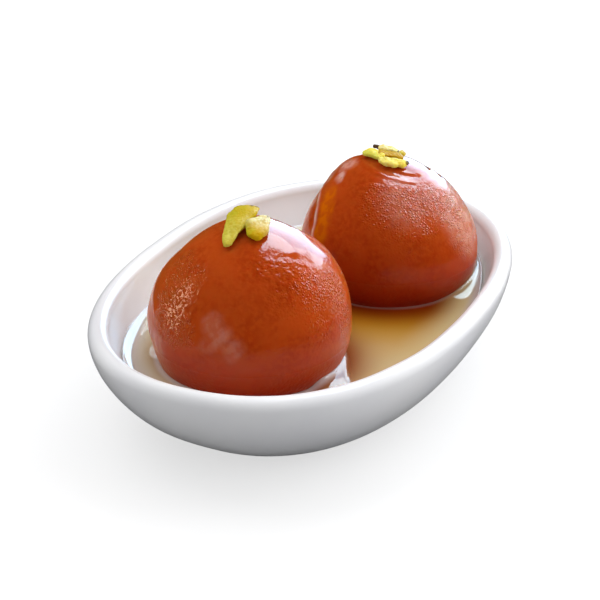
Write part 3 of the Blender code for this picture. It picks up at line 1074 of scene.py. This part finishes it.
# The shares of pale flesh at either end, the pale, yellow and green colours, and where skin begins.
FLESH = {
    "nut": ((0.9, 0.0), (0.70, 0.62, 0.10), (0.56, 0.39, 0.001), (0.50, 0.42, 0.003), 0.93),
    "nut_chunk": ((0.0, 1.0), (0.86, 0.84, 0.52), (0.62, 0.38, 0.001), (0.56, 0.46, 0.01), 0.93),
    "nut_left": ((0.5, 0.3), (0.84, 0.74, 0.20), (0.88, 0.68, 0.015), (0.66, 0.70, 0.06), 0.97),
    "nut_bowed": ((0.6, 0.3), (0.95, 0.88, 0.36), (0.90, 0.70, 0.04), (0.80, 0.68, 0.04), 0.93),
    "nut_upper": ((0.8, 0.8), (0.94, 0.88, 0.46), (0.78, 0.56, 0.03), (0.70, 0.62, 0.06), 0.96),
    # Darker ochre for the piece in the hollow: painted shade.
    "nut_ochre": ((0.0, 0.0), (0.60, 0.40, 0.02), (0.52, 0.29, 0.001), (0.50, 0.34, 0.001), 0.97),
    "nut_dark": ((0.5, 0.5), (0.36, 0.35, 0.24), (0.22, 0.21, 0.13), (0.15, 0.16, 0.09), 0.55),
}
finishes = {name: nut_finish(name.replace("nut", "pistachio"), *values) for name, values in FLESH.items()}
for nut in nuts:
    nut.data.materials.append(finishes.get(nut.name, finishes["nut"]))

# %% [markdown]
# ## Table, camera and lamps
#
# The dish stands on a plain white table, so wide that its edge never shows. A real white table looks
# whiter than its shadow only because the room behind it is bright; here the same is done by letting the
# sheet glow a little for the camera alone, so that it throws no light up at the dish.

# %% The table
TABLE_REACH = 3.0
TABLE_GLOW = 0.62


def make_table():
    """A wide level sheet of plain white, under everything."""
    corners = [(x * TABLE_REACH, y * TABLE_REACH, 0) for x, y in ((-1, -1), (1, -1), (1, 1), (-1, 1))]
    mesh = bpy.data.meshes.new("table")
    mesh.from_pydata(corners, [], [(0, 1, 2, 3)])
    table = placed("table", mesh)
    finish, tree, shader = new_finish("white table")
    glow = times(tree, add(tree, "LightPath").outputs["Is Camera Ray"], TABLE_GLOW)
    feed(tree, shader, Base_Color=(0.42, 0.42, 0.42), Roughness=0.8, Specular_IOR_Level=0.1)
    feed(tree, shader, Emission_Color=(1, 1, 1), Emission_Strength=glow)
    mesh.materials.append(finish)
    table.visible_glossy = False


make_table()

# %% [markdown]
# ### The camera
#
# Food is looked at from a seat at the table: from a quarter above the level, over the near end of the
# dish. A long lens keeps the oval from swelling towards the viewer.

# %% The camera
AIM = Vector((0.016875, 0.010214, 0.010))
LENS = 108.09
VIEW_DISTANCE = 0.450
VIEW_BEARING = math.radians(204.81)
VIEW_ELEVATION = math.radians(25.709)


def towards(bearing, elevation):
    """A unit vector at a bearing counted from +X towards +Y and an elevation above the table."""
    flat_part = math.cos(elevation)
    return Vector((flat_part * math.cos(bearing), flat_part * math.sin(bearing), math.sin(elevation)))


def make_camera():
    """The camera on its line of sight to the aim point."""
    data = bpy.data.cameras.new("camera")
    data.lens = LENS
    data.clip_start = 0.01
    camera = placed("camera", data)
    back = towards(VIEW_BEARING, VIEW_ELEVATION)
    camera.location = AIM + VIEW_DISTANCE * back
    camera.rotation_euler = back.to_track_quat("Z", "Y").to_euler()
    bpy.context.scene.camera = camera


make_camera()

# %% [markdown]
# ### The lamps
#
# A tall window stands behind the dish and a little to the right. It leaves the near wall of the dish in
# soft shade and gives the bright shapes on the film of syrup. In a real room one window does both jobs.
# Here each lamp either lights matt surfaces or shows in glossy ones, so that the shading and the bright
# shapes can be set apart. A warm card on the left shows in the fine grain of the front ball only.

# %% The lamps
LAMP_AIM = 0.02


def make_lamp(name, right, elevation, width, height, radiance, colour, in_gloss=True, on_matt=True):
    """A flat lamp a metre away, aimed at the dish, which shines on matt surfaces, shows in gloss, or both.

    Right is its bearing to the right of straight behind, in degrees.
    """
    data = bpy.data.lights.new(name, "AREA")
    data.shape = "RECTANGLE"
    data.size = width
    data.size_y = height
    data.energy = radiance * math.pi * width * height
    data.color = colour
    lamp = placed(name, data)
    out = towards(VIEW_BEARING + math.pi - math.radians(right), math.radians(elevation))
    lamp.location = Vector((0, 0, LAMP_AIM)) + out
    lamp.rotation_euler = out.to_track_quat("Z", "Y").to_euler()
    lamp.visible_glossy = in_gloss
    lamp.visible_diffuse = on_matt
    lamp.visible_transmission = on_matt
    return lamp


MATT_LAMPS = (
    ("window_light", 56, 42, 1.05, 1.15, 1.60, (0.98, 0.98, 1.0)),
    ("sky_light", -160, 62, 1.6, 1.6, 0.36, (1.0, 0.99, 0.98)),
    ("right_light", 92, 18, 0.8, 0.6, 2.7, (1.0, 0.99, 1.0)),
    ("left_light", -42, 58, 1.0, 1.0, 1.5, (1.0, 0.99, 1.0)),
    ("low_light", -120, 8, 0.8, 0.5, 0.7, (1.0, 0.99, 0.97)),
)
for lamp in MATT_LAMPS:
    make_lamp(*lamp, in_gloss=False)
make_lamp("right_card", 56, 16, 0.55, 0.8, 2.2, (0.95, 0.95, 0.85), on_matt=False)
left_card = make_lamp("left_card", -85, 12, 0.32, 0.60, 12.0, (1.0, 0.74, 0.50), on_matt=False)

front_only = bpy.data.collections.new("lit by the left card")
front_only.objects.link(sweets[0])
left_card.light_linking.receiver_collection = front_only

# %% [markdown]
# ### The window
#
# What the film of syrup shows is the window itself, so its outline matters: a leaning frame, with a
# lower pane that is dimmer and bluer than the upper one. A lamp can only be a rectangle or an oval, so
# each pane is a flat sheet that gives light. It is hidden from everything except glossy reflection.

# %% The window's panes
WINDOW_RIGHT = math.radians(29)
LOWER_PANE = (
    (-0.44, -0.12), (-0.20, -0.10), (0.12, 0.16), (0.46, 0.40),
    (0.36, 0.86), (-0.33, 0.80), (-0.42, 0.33), (-0.50, 0.02),
)
UPPER_PANE = ((-0.33, 0.80), (0.36, 0.86), (0.50, 1.50), (0.36, 2.90), (-0.10, 3.10), (-0.34, 1.60))


def make_pane(name, outline, strength, colour):
    """A pane of light on a wall a metre away, which shows only in gloss. Corners are (right, up)."""
    out = towards(VIEW_BEARING + math.pi - WINDOW_RIGHT, 0)
    right = out.cross(Vector((0, 0, 1)))
    mesh = bpy.data.meshes.new(name)
    corners = [out + right * x + Vector((0, 0, LAMP_AIM + z)) for x, z in outline]
    mesh.from_pydata(corners, [], [tuple(range(len(outline)))[::-1]])
    pane = placed(name, mesh)
    finish, tree, shader = new_finish(name)
    feed(tree, shader, Base_Color=(0, 0, 0), Emission_Color=colour, Emission_Strength=strength)
    mesh.materials.append(finish)
    for kind in ("camera", "diffuse", "transmission", "volume_scatter", "shadow"):
        setattr(pane, "visible_" + kind, False)


make_pane("lower_pane", LOWER_PANE, 6.4, (0.50, 0.76, 1.0))
make_pane("upper_pane", UPPER_PANE, 10.8, (0.66, 0.86, 1.0))


ROOM_COLOUR = (0.97, 0.98, 1.0, 1)
ROOM_LIGHT = 0.36


def make_room():
    """Even light from all round, a little cool, which gloss doesn't show: the real room is dark to it."""
    world = bpy.data.worlds.new("room")
    world.use_nodes = True
    shade = world.node_tree.nodes["Background"]
    shade.inputs["Color"].default_value = ROOM_COLOUR
    shade.inputs["Strength"].default_value = ROOM_LIGHT
    world.cycles_visibility.glossy = False
    bpy.context.scene.world = world


make_room()
bpy.context.scene.view_settings.view_transform = "Standard"
